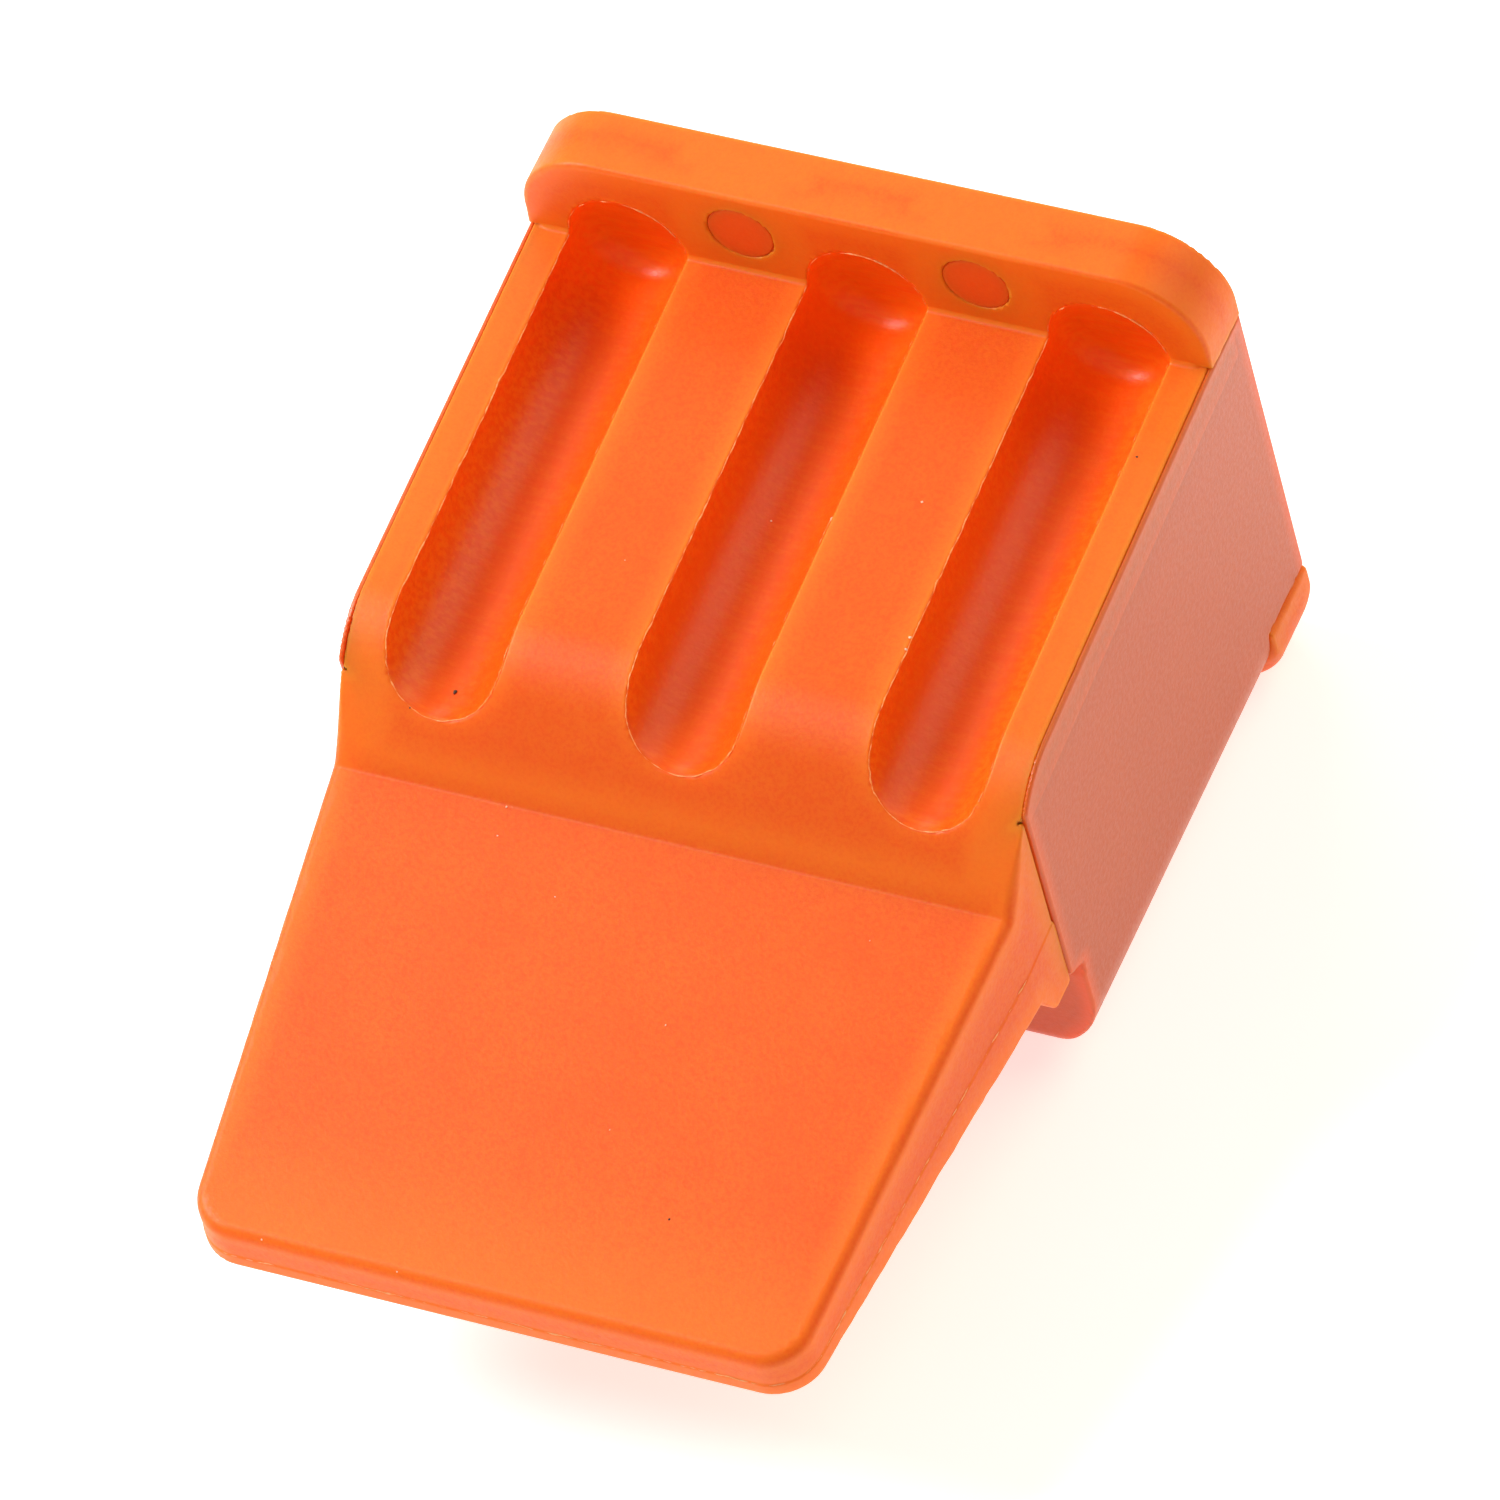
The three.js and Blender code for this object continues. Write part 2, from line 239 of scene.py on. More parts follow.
FLANGE_FRONT = rounded([
    (-HALF, SEAM / 2, 0),
    (HALF, SEAM / 2, 0),
    (HALF, FLANGE_RISE, FLANGE_RADIUS),
    (-HALF, FLANGE_RISE, FLANGE_RADIUS),
])
SADDLE_SIDE = rounded([
    (BACK_Y, BOTTOM_Z, 0),
    (BACK_Y, -SEAM / 2, 0),
    (0, -SEAM / 2, 0),
    (DECK_END_Y, deck_z(DECK_END_Y) - 0.08, 8),
    (PLATE_FRONT_Y - 0.02, deck_z(DECK_END_Y) - 2.6, 0.2),
    (PLATE_FRONT_Y, NOTCH_TOP, 0.2),
    (PLATE_FRONT_Y + 2.1, NOTCH_TOP - 1.0, 0.3),
    (LIP_FRONT_Y, LIP_TOP, 0.4),
    (LIP_FRONT_Y, BOTTOM_Z, 2.4),
])
ABOVE = 20.0  # a height above the whole object
SADDLE_SECTION = rounded([
    (-HALF, BOTTOM_Z, SADDLE_RADIUS),
    (HALF, BOTTOM_Z, SADDLE_RADIUS),
    (HALF, ABOVE, 0),
    (-HALF, ABOVE, 0),
])
HEEL_SECTION = rounded([
    (-HALF - HEEL_PROUD, BOTTOM_Z, HEEL_RADIUS),
    (HALF + HEEL_PROUD, BOTTOM_Z, HEEL_RADIUS),
    (HALF + HEEL_PROUD, HEEL_TOP, 0.5),
    (-HALF - HEEL_PROUD, HEEL_TOP, 0.5),
])


def inner_width(deck_height, lip):
    """Half the width of the channel between the side walls: wide at the deck, mitred to the wall
    below."""
    narrowing = np.clip(-deck_height - LIP_HEIGHT, 0, WALL - lip)
    return HALF - lip - narrowing


def groove_distance(x, y, z):
    """The three channels in the deck: ball ends in front, filleted blind ends inside the flange."""
    along, height = deck_frame(y, z)
    nearest = np.inf
    for centre in GROOVE_XS:
        radial = np.hypot(x - centre, height)
        ball = np.hypot(radial, along - GROOVE_FRONT_Y) - GROOVE_RADIUS
        tube = common(radial - GROOVE_RADIUS, along - GROOVE_BLIND, GROOVE_BLIND)
        nearest = np.minimum(nearest, np.where(along < GROOVE_FRONT_Y, ball, tube))
    return nearest


def tab_distance(x, y, z, growth):
    """The saddle's two tabs, which reach up behind the flange and take the pins."""
    return box_distance(
        np.abs(x) - PIN_X, y, z,
        (-TAB_HALF - growth, BACK_Y - BACK_WALL - growth, -1),
        (TAB_HALF + growth, BACK_Y + growth, TAB_TOP + growth),
    )


def pin_distance(x, y, z, growth, front):
    """Both lock pins, with their faces at y = front."""
    radial = np.hypot(np.abs(x) - PIN_X, z - PIN_Z) - PIN_RADIUS - growth
    middle, half = (front + PIN_BACK) / 2, (PIN_BACK - front) / 2
    return common(radial, np.abs(y - middle) - half - growth, 0.12)


def parting_z(y):
    """Height of the line round the tongue where the two halves of the mould met."""
    return PARTING_Z + PARTING_SLOPE * (y - CREASE_Y)


def body_distance(x, y, z):
    height = deck_frame(y, z)[1]
    slab_half = inner_width(height, PLATE_LIP + DECK_SEAM)
    slab = np.maximum(np.abs(x) - slab_half, PLATE_FRONT_Y - 3 - y)
    mismatch = MISMATCH * between(parting_z(y) - z, -0.1, 0.1)
    plan = np.minimum(outline_distance(BODY_PLAN, x, y) - mismatch, slab)
    # Edge rounding: crisp beside the deck, soft round the tongue, and softest on its upper edges.
    upper = between(z - tongue_z(y), -2.6, -1.6)
    softness = 0.07 + (0.27 + 0.56 * upper) * between(-y, 41, 46)
    core = common(outline_distance(BODY_SIDE, y, z), plan, softness)
    # The flange's front upper edge is rounder than its other edges.
    edge = 0.15 + 0.3 * between(z, 0, 2) * between(BACK_Y - y, 2, 4)
    thickness = np.abs(y - BACK_Y / 2) - BACK_Y / 2
    flange = common(outline_distance(FLANGE_FRONT, x, z), thickness, edge)
    # The fillet between deck and flange dies out towards the sides.
    fillet = 0.45 * between(HALF - np.abs(x), 0.8, 1.6) + 0.02
    whole = merged(core, flange, fillet)
    whole = cut(whole, groove_distance(x, y, z), 0.2)
    whole = cut(whole, pin_distance(x, y, z, 0.02, -1.0), 0.07)
    return cut(whole, tab_distance(x, y, z, SEAM), 0.1)


def saddle_block(x, y, z):
    """The saddle's outer shape, without its channel."""
    side = outline_distance(SADDLE_SIDE, y, z)
    section = outline_distance(SADDLE_SECTION, x, z)
    return common(side, section, 0.25)


def saddle_distance(x, y, z):
    height = deck_frame(y, z)[1]
    shell = saddle_block(x, y, z)
    channel = np.maximum(np.abs(x) - inner_width(height, PLATE_LIP), y - BACK_Y + BACK_WALL)
    channel = np.maximum(channel, FLOOR - z)
    shell = cut(shell, channel, 0.05)
    # Room for the body's hook: the front is open between the side walls, down to the lip.
    hook_room = box_distance(
        x, y, z, (WALL - HALF, -60, LIP_TOP), (HALF - WALL, LIP_FRONT_Y, 5)
    )
    shell = cut(shell, hook_room, 0.1)
    rebate = np.maximum(HEEL_Y - SEAM - y, z - HEEL_TOP - SEAM)
    shell = cut(shell, rebate, 0.15)
    return np.minimum(shell, tab_distance(x, y, z, 0))


def heel_distance(x, y, z):
    section = outline_distance(HEEL_SECTION, x, z)
    middle, half = (HEEL_Y + BACK_Y) / 2, (BACK_Y - HEEL_Y) / 2
    softness = 0.3 + 1.3 * between(HEEL_TOP - z, 2, 5)
    return common(section, np.abs(y - middle) - half, softness)


# ---------------------------------------------------------------- distances to meshes

def lines(*bands):
    """Grid lines from bands of (start, step) and a last end."""
    found = []
    for (start, step), following in zip(bands[:-1], bands[1:]):
        end = following if np.isscalar(following) else following[0]
        count = max(1, round((end - start) / step))
        found.extend(start + (end - start) * k / count for k in range(count))
    found.append(bands[-1])
    return np.array(found)


def net(distance, axes, slope=0.0):
    """The surface where distance is 0: one point in each grid cell that it crosses, with four-sided
    faces facing out. The grid's level planes rise by slope along y."""
    shape = tuple(len(a) for a in axes)
    across, along, level = np.ix_(*axes)
    field = distance(across, along, level + slope * along)
    field = np.broadcast_to(field, shape)
    inside = field < 0
    quads, crossings = [], []
    for a in range(3):
        low = tuple(slice(None, -1) if k == a else slice(None) for k in range(3))
        high = tuple(slice(1, None) if k == a else slice(None) for k in range(3))
        at = np.argwhere(inside[low] != inside[high])
        following = at + np.eye(3, dtype=int)[a]
        here, there = field[tuple(at.T)], field[tuple(following.T)]
        point = np.stack([axes[k][at[:, k]] for k in range(3)], axis=1)
        share = here / (here - there)
        point[:, a] += share * (axes[a][following[:, a]] - axes[a][at[:, a]])
        b, c = (a + 1) % 3, (a + 2) % 3
        corners = []
        for db, dc in ((-1, -1), (0, -1), (0, 0), (-1, 0)):
            cell = at.copy()
            cell[:, b] += db
            cell[:, c] += dc
            corners.append(np.ravel_multi_index(tuple(cell.T), shape))
        quad = np.stack(corners, axis=1)
        outside = ~inside[tuple(at.T)]
        quad[outside] = quad[outside][:, ::-1]
        quads.append(quad)
        crossings.append(np.repeat(point, 4, axis=0))
    quads, crossings = np.concatenate(quads), np.concatenate(crossings)
    index = np.unique(quads.ravel(), return_inverse=True)[1].reshape(-1)
    count = np.bincount(index)
    points = np.stack([np.bincount(index, crossings[:, k]) / count for k in range(3)], axis=1)
    points[:, 2] += slope * points[:, 1]
    return points, index.reshape(-1, 4)


def slope_of(distance, points, reach=0.01):
    """How fast the distance grows along x, y and z."""
    steps = np.eye(3) * reach
    found = [distance(*(points + s).T) - distance(*(points - s).T) for s in steps]
    return np.stack(found, axis=1) / (2 * reach)


def settled(distance, points, rounds=3, longest=0.15):
    """Points moved onto the surface, and the normals there."""
    for _ in range(rounds):
        slope = slope_of(distance, points)
        step = distance(*points.T) / np.maximum((slope ** 2).sum(axis=1), 0.2)
        points = points - np.clip(step, -longest, longest)[:, None] * slope
    slope = slope_of(distance, points, 0.03)
    return points, slope / np.maximum(np.linalg.norm(slope, axis=1), 1e-9)[:, None]


def piece(name, points, faces, material, normals=None, values=None):
    """A mesh object on the part's only body. values are numbers at its points, by name."""
    mesh = bpy.data.meshes.new(name)
    mesh.from_pydata(metres(points).tolist(), [], [list(map(int, f)) for f in faces])
    mesh.update()
    mesh.shade_smooth()
    for key, value in (values or {}).items():
        layer = mesh.attributes.new(key, "FLOAT", "POINT")
        layer.data.foreach_set("value", np.asarray(value, np.float32))
    if normals is not None:
        mesh.normals_split_custom_set_from_vertices(normals.tolist())
    mesh.materials.append(material)
    made = bpy.data.objects.new(name, mesh)
    bpy.context.scene.collection.objects.link(made)
    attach(made, "root")
    return made


def moulding(name, distance, axes, material, node, block=None):
    """A moulded piece that stands for a CAD node. block is its outer shape, where that is
    simpler. The mesh carries what the plastic needs: edges, rims, thin walls and grooves."""
    points, faces = net(distance, axes, DECK_SLOPE)
    points, normals = settled(distance, points)

    def nearness(depth, shape=distance):
        """0 on a broad face, towards 1 within depth of an edge or on a thin stretch."""
        return np.clip(1 + shape(*(points - normals * depth).T) / depth, 0, 1)

    on_groove = np.abs(groove_distance(*points.T)) < 0.06
    values = {
        "edge": nearness(0.5),
        "rim": nearness(2.0, block or distance),
        "thin": nearness(3.5),
        "groove": on_groove,
        "arch": on_groove * between(points[:, 1], -7, 1),
    }
    made = piece(name, points, faces, material, normals, values)
    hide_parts(node)


# ---------------------------------------------------------------- materials

class Nodes:
    """A material's node tree, with short calls for the nodes used here."""

    def __init__(self, name):
        self.material = bpy.data.materials.new(name)
        self.material.use_nodes = True
        self.tree = self.material.node_tree
        self.shader = self.tree.nodes["Principled BSDF"]
        self.place = self.add("ShaderNodeTexCoord").outputs["Object"]

    def add(self, kind, **settings):
        node = self.tree.nodes.new(kind)
        for key, value in settings.items():
            setattr(node, key, value)
        return node

    def link(self, source, target):
        self.tree.links.new(source, target)

    def noise(self, size, detail=2.0, roughness=0.5, stretch=None):
        """Noise whose features are about size millimetres."""
        node = self.add("ShaderNodeTexNoise")
        node.inputs["Scale"].default_value = 1 / (size * MM)
        node.inputs["Detail"].default_value = detail
        node.inputs["Roughness"].default_value = roughness
        source = self.place
        if stretch:
            mapping = self.add("ShaderNodeMapping")
            mapping.inputs["Scale"].default_value = stretch
            self.link(source, mapping.inputs["Vector"])
            source = mapping.outputs["Vector"]
        self.link(source, node.inputs["Vector"])
        return node.outputs["Fac"]

    def value(self, name):
        """A number that the mesh carries."""
        return self.add("ShaderNodeAttribute", attribute_name=name).outputs["Fac"]

    def ramp(self, source, low, high, to_low=0.0, to_high=1.0):
        """source taken smoothly from low..high to to_low..to_high."""
        node = self.add("ShaderNodeMapRange")
        node.interpolation_type = "SMOOTHSTEP"
        for key, number in zip(("From Min", "From Max"), (low, high)):
            node.inputs[key].default_value = number
        for key, number in zip(("To Min", "To Max"), (to_low, to_high)):
            node.inputs[key].default_value = number
        self.link(source, node.inputs["Value"])
        return node.outputs["Result"]

    def times(self, a, b):
        node = self.add("ShaderNodeMath", operation="MULTIPLY")
        for socket, source in zip(node.inputs, (a, b)):
            if isinstance(source, (int, float)):
                socket.default_value = source
            else:
                self.link(source, socket)
        return node.outputs["Value"]

    def mix(self, share, a, b):
        """Colour a, with a share of colour b."""
        node = self.add("ShaderNodeMix", data_type="RGBA")
        self.link(share, node.inputs["Factor"])
        for socket, source in ((node.inputs["A"], a), (node.inputs["B"], b)):
            if isinstance(source, tuple):
                socket.default_value = (*source, 1)
            else:
                self.link(source, socket)
        return node.outputs["Result"]

    def bump(self, height, strength, distance, before=None):
        """A surface normal roughened by height, up to distance millimetres, on top of before."""
        node = self.add("ShaderNodeBump")
        node.inputs["Strength"].default_value = strength
        node.inputs["Distance"].default_value = distance * MM
        self.link(height, node.inputs["Height"])
        if before is not None:
            self.link(before, node.inputs["Normal"])
        return node.outputs["Normal"]


PAINTED_ARCH_GLOW = 0.18


def plastic(name, face, deep, edge, roughness=0.46, gloss=0.3, thin_painted_glow=0.45, rim_painted_glow=0.0):
    """Satin moulding plastic, slightly translucent: the colour of broad faces, a deeper one in
    patches and in the grooves, and a lighter one where the wall is thin or an edge is near, which
    is painted light: a painted glow through thin walls and at rims, and a painted highlight along
    edges. The arches get a painted glow, an emission that stands in for the light that comes
    through the flange above them."""
    n = Nodes(name)
    # Colour
    clouds = n.ramp(n.noise(9, 4, 0.65), 0.3, 0.75)
    specks = n.ramp(n.noise(0.35, 3, 0.7), 0.4, 0.66, 0, 0.7)
    colour = n.mix(n.times(clouds, 0.4), face, deep)
    colour = n.mix(specks, colour, deep)
    # Painted glow: a lighter colour where the wall is thin, and near the rims, standing in for
    # light that passes through the plastic
    colour = n.mix(n.ramp(n.value("thin"), 0.0, 0.8, 0, thin_painted_glow), colour, edge)
    colour = n.mix(n.ramp(n.value("rim"), 0.1, 0.9, 0, rim_painted_glow), colour, edge)
    # Painted highlight: the lighter edge colour within half a millimetre of an edge, broken up by
    # noise
    edge_highlight_share = n.ramp(n.value("edge"), 0.05, 0.5)
    painted_edge_highlight = n.times(edge_highlight_share, n.ramp(n.noise(0.7, 3, 0.7), 0.3, 0.7, 0.3, 0.55))
    colour = n.mix(painted_edge_highlight, colour, edge)
    streaks = n.ramp(n.noise(0.5, 2, 0.6, stretch=(0.15, 1, 1)), 0.35, 0.65, 0.3, 0.8)
    colour = n.mix(n.times(n.value("groove"), streaks), colour, deep)
    n.link(colour, n.shader.inputs["Base Color"])
    # Relief: moulding grain, a slow ripple, and tool marks across the grooves
    grain = n.noise(0.3, 3, 0.65)
    normal = n.bump(grain, 0.6, 0.04)
    ripple = n.noise(9, 0, 0.5)
    normal = n.bump(ripple, 0.1, 0.2, normal)
    marks = n.times(n.noise(0.55, 2, 0.6, stretch=(0.12, 1, 1)), n.value("groove"))
    normal = n.bump(marks, 0.5, 0.05, normal)
    n.link(normal, n.shader.inputs["Normal"])
    # Gloss: the grooves are smoother than the rest
    rough = n.ramp(n.noise(0.5, 2, 0.6), 0.3, 0.7, roughness - 0.05, roughness + 0.06)
    smoother = n.ramp(n.value("groove"), 0, 1, 1, 0.72)
    n.link(n.times(rough, smoother), n.shader.inputs["Roughness"])
    n.shader.inputs["Specular IOR Level"].default_value = gloss
    # Painted glow: emission in the arches, standing in for the light that comes through the flange
    # above them
    n.shader.inputs["Emission Color"].default_value = (0.95, 0.1, 0.002, 1)
    n.link(n.times(n.value("arch"), PAINTED_ARCH_GLOW), n.shader.inputs["Emission Strength"])
    n.shader.inputs["Subsurface Weight"].default_value = 0.5
    n.shader.inputs["Subsurface Radius"].default_value = (1.0, 0.3, 0.06)
    n.shader.inputs["Subsurface Scale"].default_value = 3.5 * MM
    return n.material


body_plastic = plastic(
    "orange_body",
    face=(0.88, 0.14, 0.004), deep=(0.84, 0.09, 0.002), edge=(1.0, 0.25, 0.012),
)
# The saddle's colours are darker than the body's though it is the same plastic: painted shade for
# its less lit sides. Its rims get a painted glow.
saddle_plastic = plastic(
    "orange_saddle",
    face=(0.61, 0.095, 0.006), deep=(0.56, 0.082, 0.005), edge=(0.86, 0.125, 0.01),
    roughness=0.38, gloss=0.6, thin_painted_glow=0.0, rim_painted_glow=0.6,
)
heel_plastic = plastic(
    "orange_heel",
    face=(0.92, 0.14, 0.004), deep=(0.84, 0.09, 0.002), edge=(1.0, 0.25, 0.012),
)
pin_plastic = plastic(
    "orange_pin",
    face=(1.0, 0.09, 0.003), deep=(0.95, 0.075, 0.002), edge=(1.0, 0.14, 0.01),
    roughness=0.5,
)


# ---------------------------------------------------------------- the moulded pieces

def rim_lines():
    """Grid lines across the body, close together at its sides and at both rims of each groove. The
    bands are placed so that no line lies in one of those surfaces."""
    fine, coarse = 0.15, 0.6
    reach = 2.5 * fine
    past, inward = 3.5 * fine, 6.5 * fine
    close = [(-HALF - past, -HALF + inward)]
    for centre in GROOVE_XS:
        rims = (centre - GROOVE_RADIUS, centre + GROOVE_RADIUS)
        close += [(rim - reach, rim + reach) for rim in rims]
    close += [(HALF - inward, HALF + past)]
    bands = []
    for start, end in close:
        bands += [(start, fine), (end, coarse)]
    return lines(*bands[:-1], close[-1][1])


moulding(
    "body_moulding",
    body_distance,
    (
        rim_lines(),
        lines(
            (-87.6, 0.2), (-84.5, 0.35), (-82, 1.3), (-49, 0.3), (-36, 1.3), (-1, 0.15),
            (1, 0.35), (4.6, 0.15), 6.4,
        ),
        lines((-24.6, 0.5), (-19, 0.25), (-12.6, 0.4), (-0.66, 0.12), (0.66, 0.3), 9.8),
    ),
    body_plastic,
    "wedge_body",
)
moulding(
    "saddle_moulding",
    saddle_distance,
    (
        lines(
            (-30.6, 0.3), (-20.8, 1.2), (-15, 0.4), (-5.5, 1.2), (5.5, 0.4), (15, 1.2),
            (20.8, 0.3), 30.6,
        ),
        lines((-42.2, 0.2), (-36.5, 1.1), (-3, 0.3), (-0.9, 0.9), (3.2, 0.25), 6.5),
        lines(
            (-41.8, 0.35), (-29.5, 0.25), (-20.5, 0.9), (-6, 0.25), (-0.7, 0.12), (0.8, 0.4), 7.6,
        ),
    ),
    saddle_plastic,
    "saddle",
    saddle_block,
)
moulding(
    "heel_moulding",
    heel_distance,
    (
        lines((-31, 0.25), (-24, 1.5), (24, 0.25), 31),
        lines((-2.4, 0.15), (0.4, 0.8), (3.8, 0.15), 6.4),
        lines((-41.1, 0.3), -31.9),
    ),
    heel_plastic,
    "heel_bar",
)
for side, node in ((-1, "lock_pin_left"), (1, "lock_pin_right")):
    moulding(
        node.replace("lock_", "") + "_moulding",
        lambda x, y, z: pin_distance(x, y, z, 0, PIN_RECESS),
        (
            side * PIN_X + lines((-3.3, 0.2), 3.3),
            lines((-0.3, 0.1), (0.7, 0.3), 2.6),
            PIN_Z + lines((-3.3, 0.2), 3.3),
        ),
        pin_plastic,
        node,
    )


# ---------------------------------------------------------------- moulding flash, crumbs and specks

def resampled(path, spacing):
    """The same path with points at even spacing."""
    reach = np.concatenate([[0], np.cumsum(np.linalg.norm(np.diff(path, axis=0), axis=1))])
    at = np.linspace(0, reach[-1], int(reach[-1] / spacing) + 1)
    return np.stack([np.interp(at, reach, path[:, k]) for k in range(path.shape[1])], axis=1)


def wander(count, reach, random):
    """Smooth random numbers, about -1 to 1, that change over reach points."""
    weights = np.hanning(2 * reach + 3)
    raw = random.standard_normal(count + 4 * reach + 4)
    smooth = np.convolve(raw, weights / np.sqrt((weights ** 2).sum()), "same")
    return smooth[2 * reach:2 * reach + count]


THINNEST, THICKEST = 0.03, 1.4  # limits of a strand, as shares of its thickness


def strand(name, path, thickness, amount, seed):
    """A thread of flash along a path on the body: ragged, and nearly gone where amount is low."""
    random = np.random.default_rng(seed)
    count = len(path)
    size = amount + 0.35 * wander(count, 1, random) + 0.2 * wander(count, 8, random)
    size = thickness * np.clip(size, THINNEST, THICKEST)
    outward = slope_of(body_distance, path, 0.3)
    outward /= np.linalg.norm(outward, axis=1)[:, None] + 1e-9
    forward = np.gradient(path, axis=0)
    sideways = np.cross(forward, outward)
    sideways /= np.linalg.norm(sideways, axis=1)[:, None] + 1e-9
    middle = path + sideways * (0.03 * wander(count, 3, random))[:, None]
    sides = 6
    rings = []
    for k in range(sides):
        turn = 2 * math.pi * k / sides
        spoke = math.cos(turn) * sideways + math.sin(turn) * outward
        rings.append(middle + size[:, None] * spoke)
    points = np.stack(rings, axis=1).reshape(-1, 3)
    faces = []
    for i in range(count - 1):
        for k in range(sides):
            a, b = i * sides + k, i * sides + (k + 1) % sides
            faces.append((a, b, b + sides, a + sides))
    faces.append(tuple(range(sides))[::-1])
    faces.append(tuple((count - 1) * sides + k for k in range(sides)))
    piece(name, points, faces, flash_plastic)


def rim_path(centre):
    """Where a groove's wall meets the deck: down its left side, round the front, up its right."""
    straight = np.arange(-0.3, GROOVE_FRONT_Y, -0.2)
    turn = np.radians(np.arange(2, 180, 2))
    front = GROOVE_FRONT_Y - GROOVE_RADIUS * np.sin(turn)
    along = np.concatenate([straight, front, straight[::-1]])
    left = np.full(len(straight), -GROOVE_RADIUS)
    across = np.concatenate([left, -GROOVE_RADIUS * np.cos(turn), -left])
    path = np.stack([centre + across, along, deck_z(along)], axis=1)
    for _ in range(12):
        for surface in (lambda x, y, z: outline_distance(BODY_SIDE, y, z), groove_distance):
            path = path - surface(*path.T)[:, None] * slope_of(surface, path)
    return path


def arch_path(centre):
    """A groove's arch in the front face of the flange, from right to left."""
    turn = np.radians(np.arange(4, 176, 2))
    return np.stack([
        centre + GROOVE_RADIUS * np.cos(turn), 0 * turn, GROOVE_RADIUS * np.sin(turn)
    ], axis=1)


def parting_path():
    """The parting line round the tongue."""
    plan = resampled(BODY_PLAN[BODY_PLAN[:, 1] < PLATE_FRONT_Y - 0.2], 0.2)
    path = np.stack([plan[:, 0], plan[:, 1], parting_z(plan[:, 1])], axis=1)
    return settled(body_distance, path)[0]


def lumps(name, spots, material, seed):
    """Small lumps stuck to the body, each of its own shape, nearest to (x, y, z, size) spots."""
    random = np.random.default_rng(seed)
    spots = np.array(spots)
    places, outward = settled(body_distance, spots[:, :3], rounds=6, longest=1.5)
    for number, (place, up, size) in enumerate(zip(places, outward, spots[:, 3])):
        stretch, phase = 1 + 0.3 * random.uniform(-1, 1, 3), random.uniform(0, 6, 6)

        def distance(x, y, z):
            x, y, z = x * stretch[0], y * stretch[1], z * stretch[2]
            bumps = np.sin(3 * x + phase[0]) * np.sin(3 * y + phase[1])
            bumps = bumps + np.sin(4 * z + phase[2])
            return np.sqrt(x * x + y * y + z * z) - 1 + 0.16 * bumps

        shape, faces = net(distance, [lines((-1.9, 0.35), 1.9)] * 3)
        shape = shape - np.outer(shape @ up, up) * 0.45
        piece(f"{name}_{number + 1}", place + size * shape, faces, material)


def simple(name, colours, roughness, translucent):
    """A plain mottled material for small bits."""
    n = Nodes(name)
    n.link(n.mix(n.ramp(n.noise(0.3), 0.35, 0.65), *colours), n.shader.inputs["Base Color"])
    n.link(n.bump(n.noise(0.1), 0.3, 0.03), n.shader.inputs["Normal"])
    n.shader.inputs["Roughness"].default_value = roughness
    n.shader.inputs["Subsurface Weight"].default_value = translucent
    n.shader.inputs["Subsurface Radius"].default_value = (1.0, 0.5, 0.2)
    n.shader.inputs["Subsurface Scale"].default_value = 0.5 * MM
    return n.material


flash_plastic = simple("flash", ((1.0, 0.3, 0.06), (1.0, 0.45, 0.18)), 0.4, 0.3)
crumb_plastic = simple("crumb", ((1.0, 0.55, 0.35), (1.0, 0.72, 0.55)), 0.5, 0.3)
dark_speck = simple("speck", ((0.03, 0.02, 0.015), (0.09, 0.04, 0.02)), 0.7, 0.0)

RIM_SEED, ARCH_SEED, PARTING_SEED, CRUMB_SEED, SPECK_SEED = 11, 21, 31, 41, 43
for number, centre in enumerate(GROOVE_XS):
    # Flash lines a groove's left rim and its front, and is nearly gone on its right rim.
    path = rim_path(centre)
    where = np.linspace(0, 1, len(path))
    amount = 0.6 - 0.9 * between(where, 0.56, 0.64)
    strand(f"rim_flash_{number + 1}", path, 0.05, amount, RIM_SEED + number)
    # On an arch it is thickest on the right shoulder.
    path = arch_path(centre)
    where = np.linspace(0, 1, len(path))
    amount = 0.15 + 0.9 * between(where, 0.1, 0.25) * between(1 - where, 0.5, 0.65)
    strand(f"arch_flash_{number + 1}", path, 0.06, amount, ARCH_SEED + number)
strand("parting_flash", parting_path(), 0.06, 0.3, PARTING_SEED)

lumps("crumb", (
    (-14.1, -47.0, -12.1, 0.1), (-13.9, -49.5, -12.6, 0.07), (4.6, -20.6, -1.7, 0.2),
    (4.9, -21.6, -1.8, 0.1), (11.8, -17.4, -1.2, 0.11), (15.7, -29.6, -2.1, 0.14),
    (15.8, -30.7, -2.2, 0.12), (5.6, -61.7, -14.7, 0.07), (4.5, -71.2, -16.4, 0.06),
    (19.1, -51.0, -12.8, 0.06), (-7.3, -53.4, -13.3, 0.06), (-7.9, -86.6, -19.3, 0.08),
    (-1.7, -18.9, -6.2, 0.08), (-9.6, -28.4, -2.0, 0.06), (-19.7, -86.6, -19.4, 0.07),
), crumb_plastic, CRUMB_SEED)
lumps("speck", (
    (-20.7, -40.2, -8.0, 0.17), (27.1, -9.2, -0.6, 0.1), (12.0, -77.2, -17.5, 0.1),
    (-23.4, -42.9, -7.5, 0.06),
), dark_speck, SPECK_SEED)


# ---------------------------------------------------------------- floor, light and camera

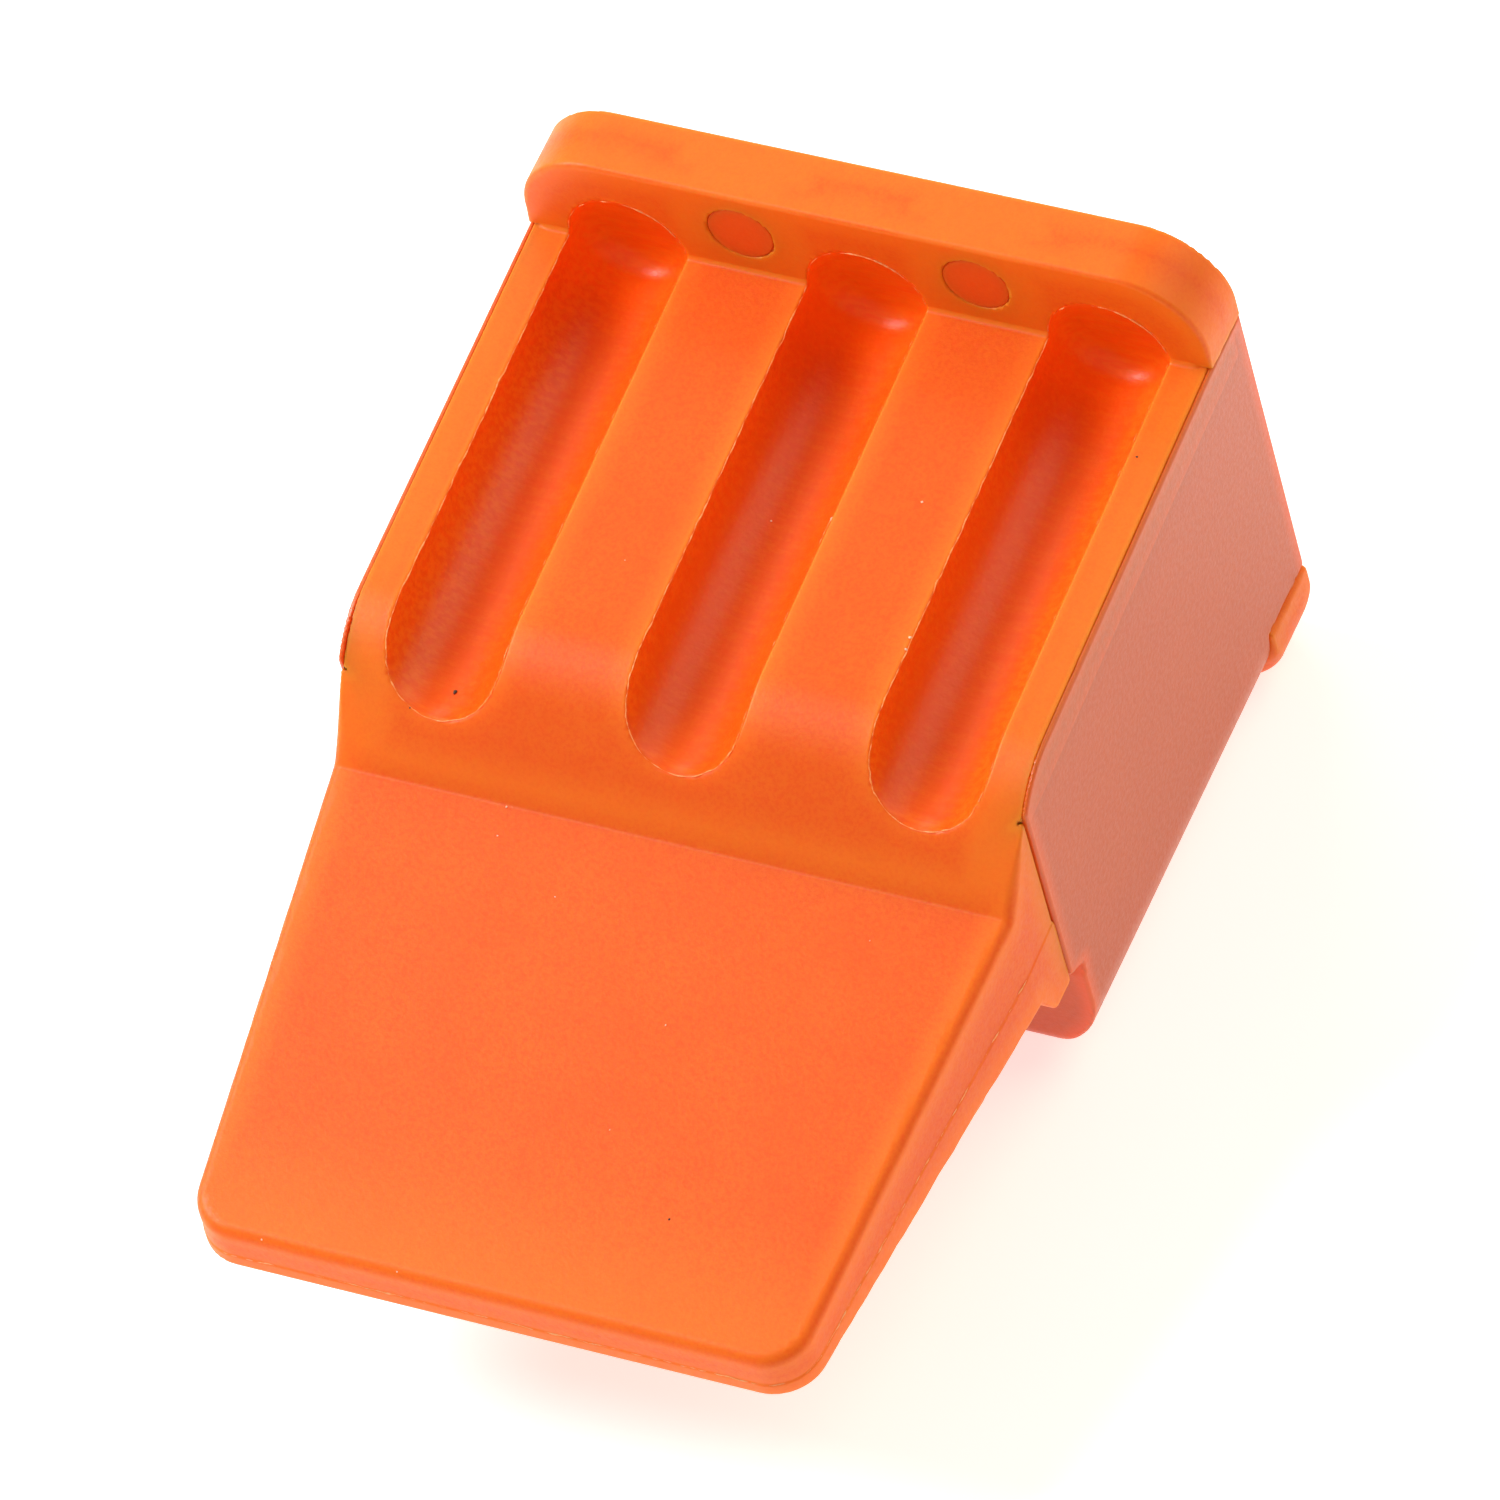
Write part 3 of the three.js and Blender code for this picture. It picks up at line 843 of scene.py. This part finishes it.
def floor():
    """A pale floor, just under the object so that the two don't share a plane."""
    size = 3.0
    mesh = bpy.data.meshes.new("floor")
    corners = [(-size, -size, 0), (size, -size, 0), (size, size, 0), (-size, size, 0)]
    mesh.from_pydata(corners, [], [(0, 1, 2, 3)])
    n = Nodes("pale_floor")
    mottled = n.mix(n.noise(60, 3, 0.5), (0.86, 0.86, 0.86), (0.9, 0.9, 0.9))
    n.link(mottled, n.shader.inputs["Base Color"])
    n.shader.inputs["Roughness"].default_value = 0.8
    n.shader.inputs["Emission Color"].default_value = (1, 1, 1, 1)
    n.shader.inputs["Emission Strength"].default_value = 0.6
    mesh.materials.append(n.material)
    made = bpy.data.objects.new("floor", mesh)
    made.location.z = cad_box[0].z - 0.05 * MM
    bpy.context.scene.collection.objects.link(made)


def softbox(name, place, size, power, colour=(1, 1, 1)):
    """A round soft light that faces the object."""
    light = bpy.data.lights.new(name, "AREA")
    light.shape = "DISK"
    light.size = size
    light.energy = power
    light.color = colour
    made = bpy.data.objects.new(name, light)
    made.location = place
    made.rotation_mode = "QUATERNION"
    made.rotation_quaternion = (-Vector(place)).to_track_quat("-Z", "Y")
    bpy.context.scene.collection.objects.link(made)


def camera():
    """A long lens from the front right, above, rolled to the side as the photograph is."""
    yaw, pitch, roll = math.radians(36.5), math.radians(51.1), math.radians(-17.07)
    distance = 1238.6
    shift_right, shift_up = 4.19, 0.75
    back = Vector((
        math.sin(yaw) * math.cos(pitch), -math.cos(yaw) * math.cos(pitch), math.sin(pitch)
    ))
    level = (-back).cross(Vector((0, 0, 1))).normalized()
    raised = level.cross(-back)
    right = math.cos(roll) * level + math.sin(roll) * raised
    up = math.cos(roll) * raised - math.sin(roll) * level
    aim = Vector((0, -40, -10)) + shift_right * right + shift_up * up
    place = Vector(metres(aim + distance * back))
    data = bpy.data.cameras.new("camera")
    data.lens = 377.1
    data.sensor_width = 36
    data.clip_end = 20
    made = bpy.data.objects.new("camera", data)
    turn = Matrix((right, up, back)).transposed().to_4x4()
    made.matrix_world = Matrix.Translation(place) @ turn
    bpy.context.scene.collection.objects.link(made)
    bpy.context.scene.camera = made


def world():
    """Even white light from all round."""
    made = bpy.data.worlds.new("studio")
    made.use_nodes = True
    background = made.node_tree.nodes["Background"]
    background.inputs["Color"].default_value = (1, 1, 1, 1)
    background.inputs["Strength"].default_value = 0.3
    bpy.context.scene.world = made


floor()
world()
softbox("key", (-0.6, -0.1, 0.64), 0.45, 7.5)
softbox("rear_fill", (0.5, 0.5, 0.62), 0.75, 3.2, (1.0, 0.88, 0.6))
softbox("rear_left", (-0.5, 0.8, 0.75), 0.5, 1.6)
camera()
bpy.context.scene.view_settings.view_transform = "Standard"
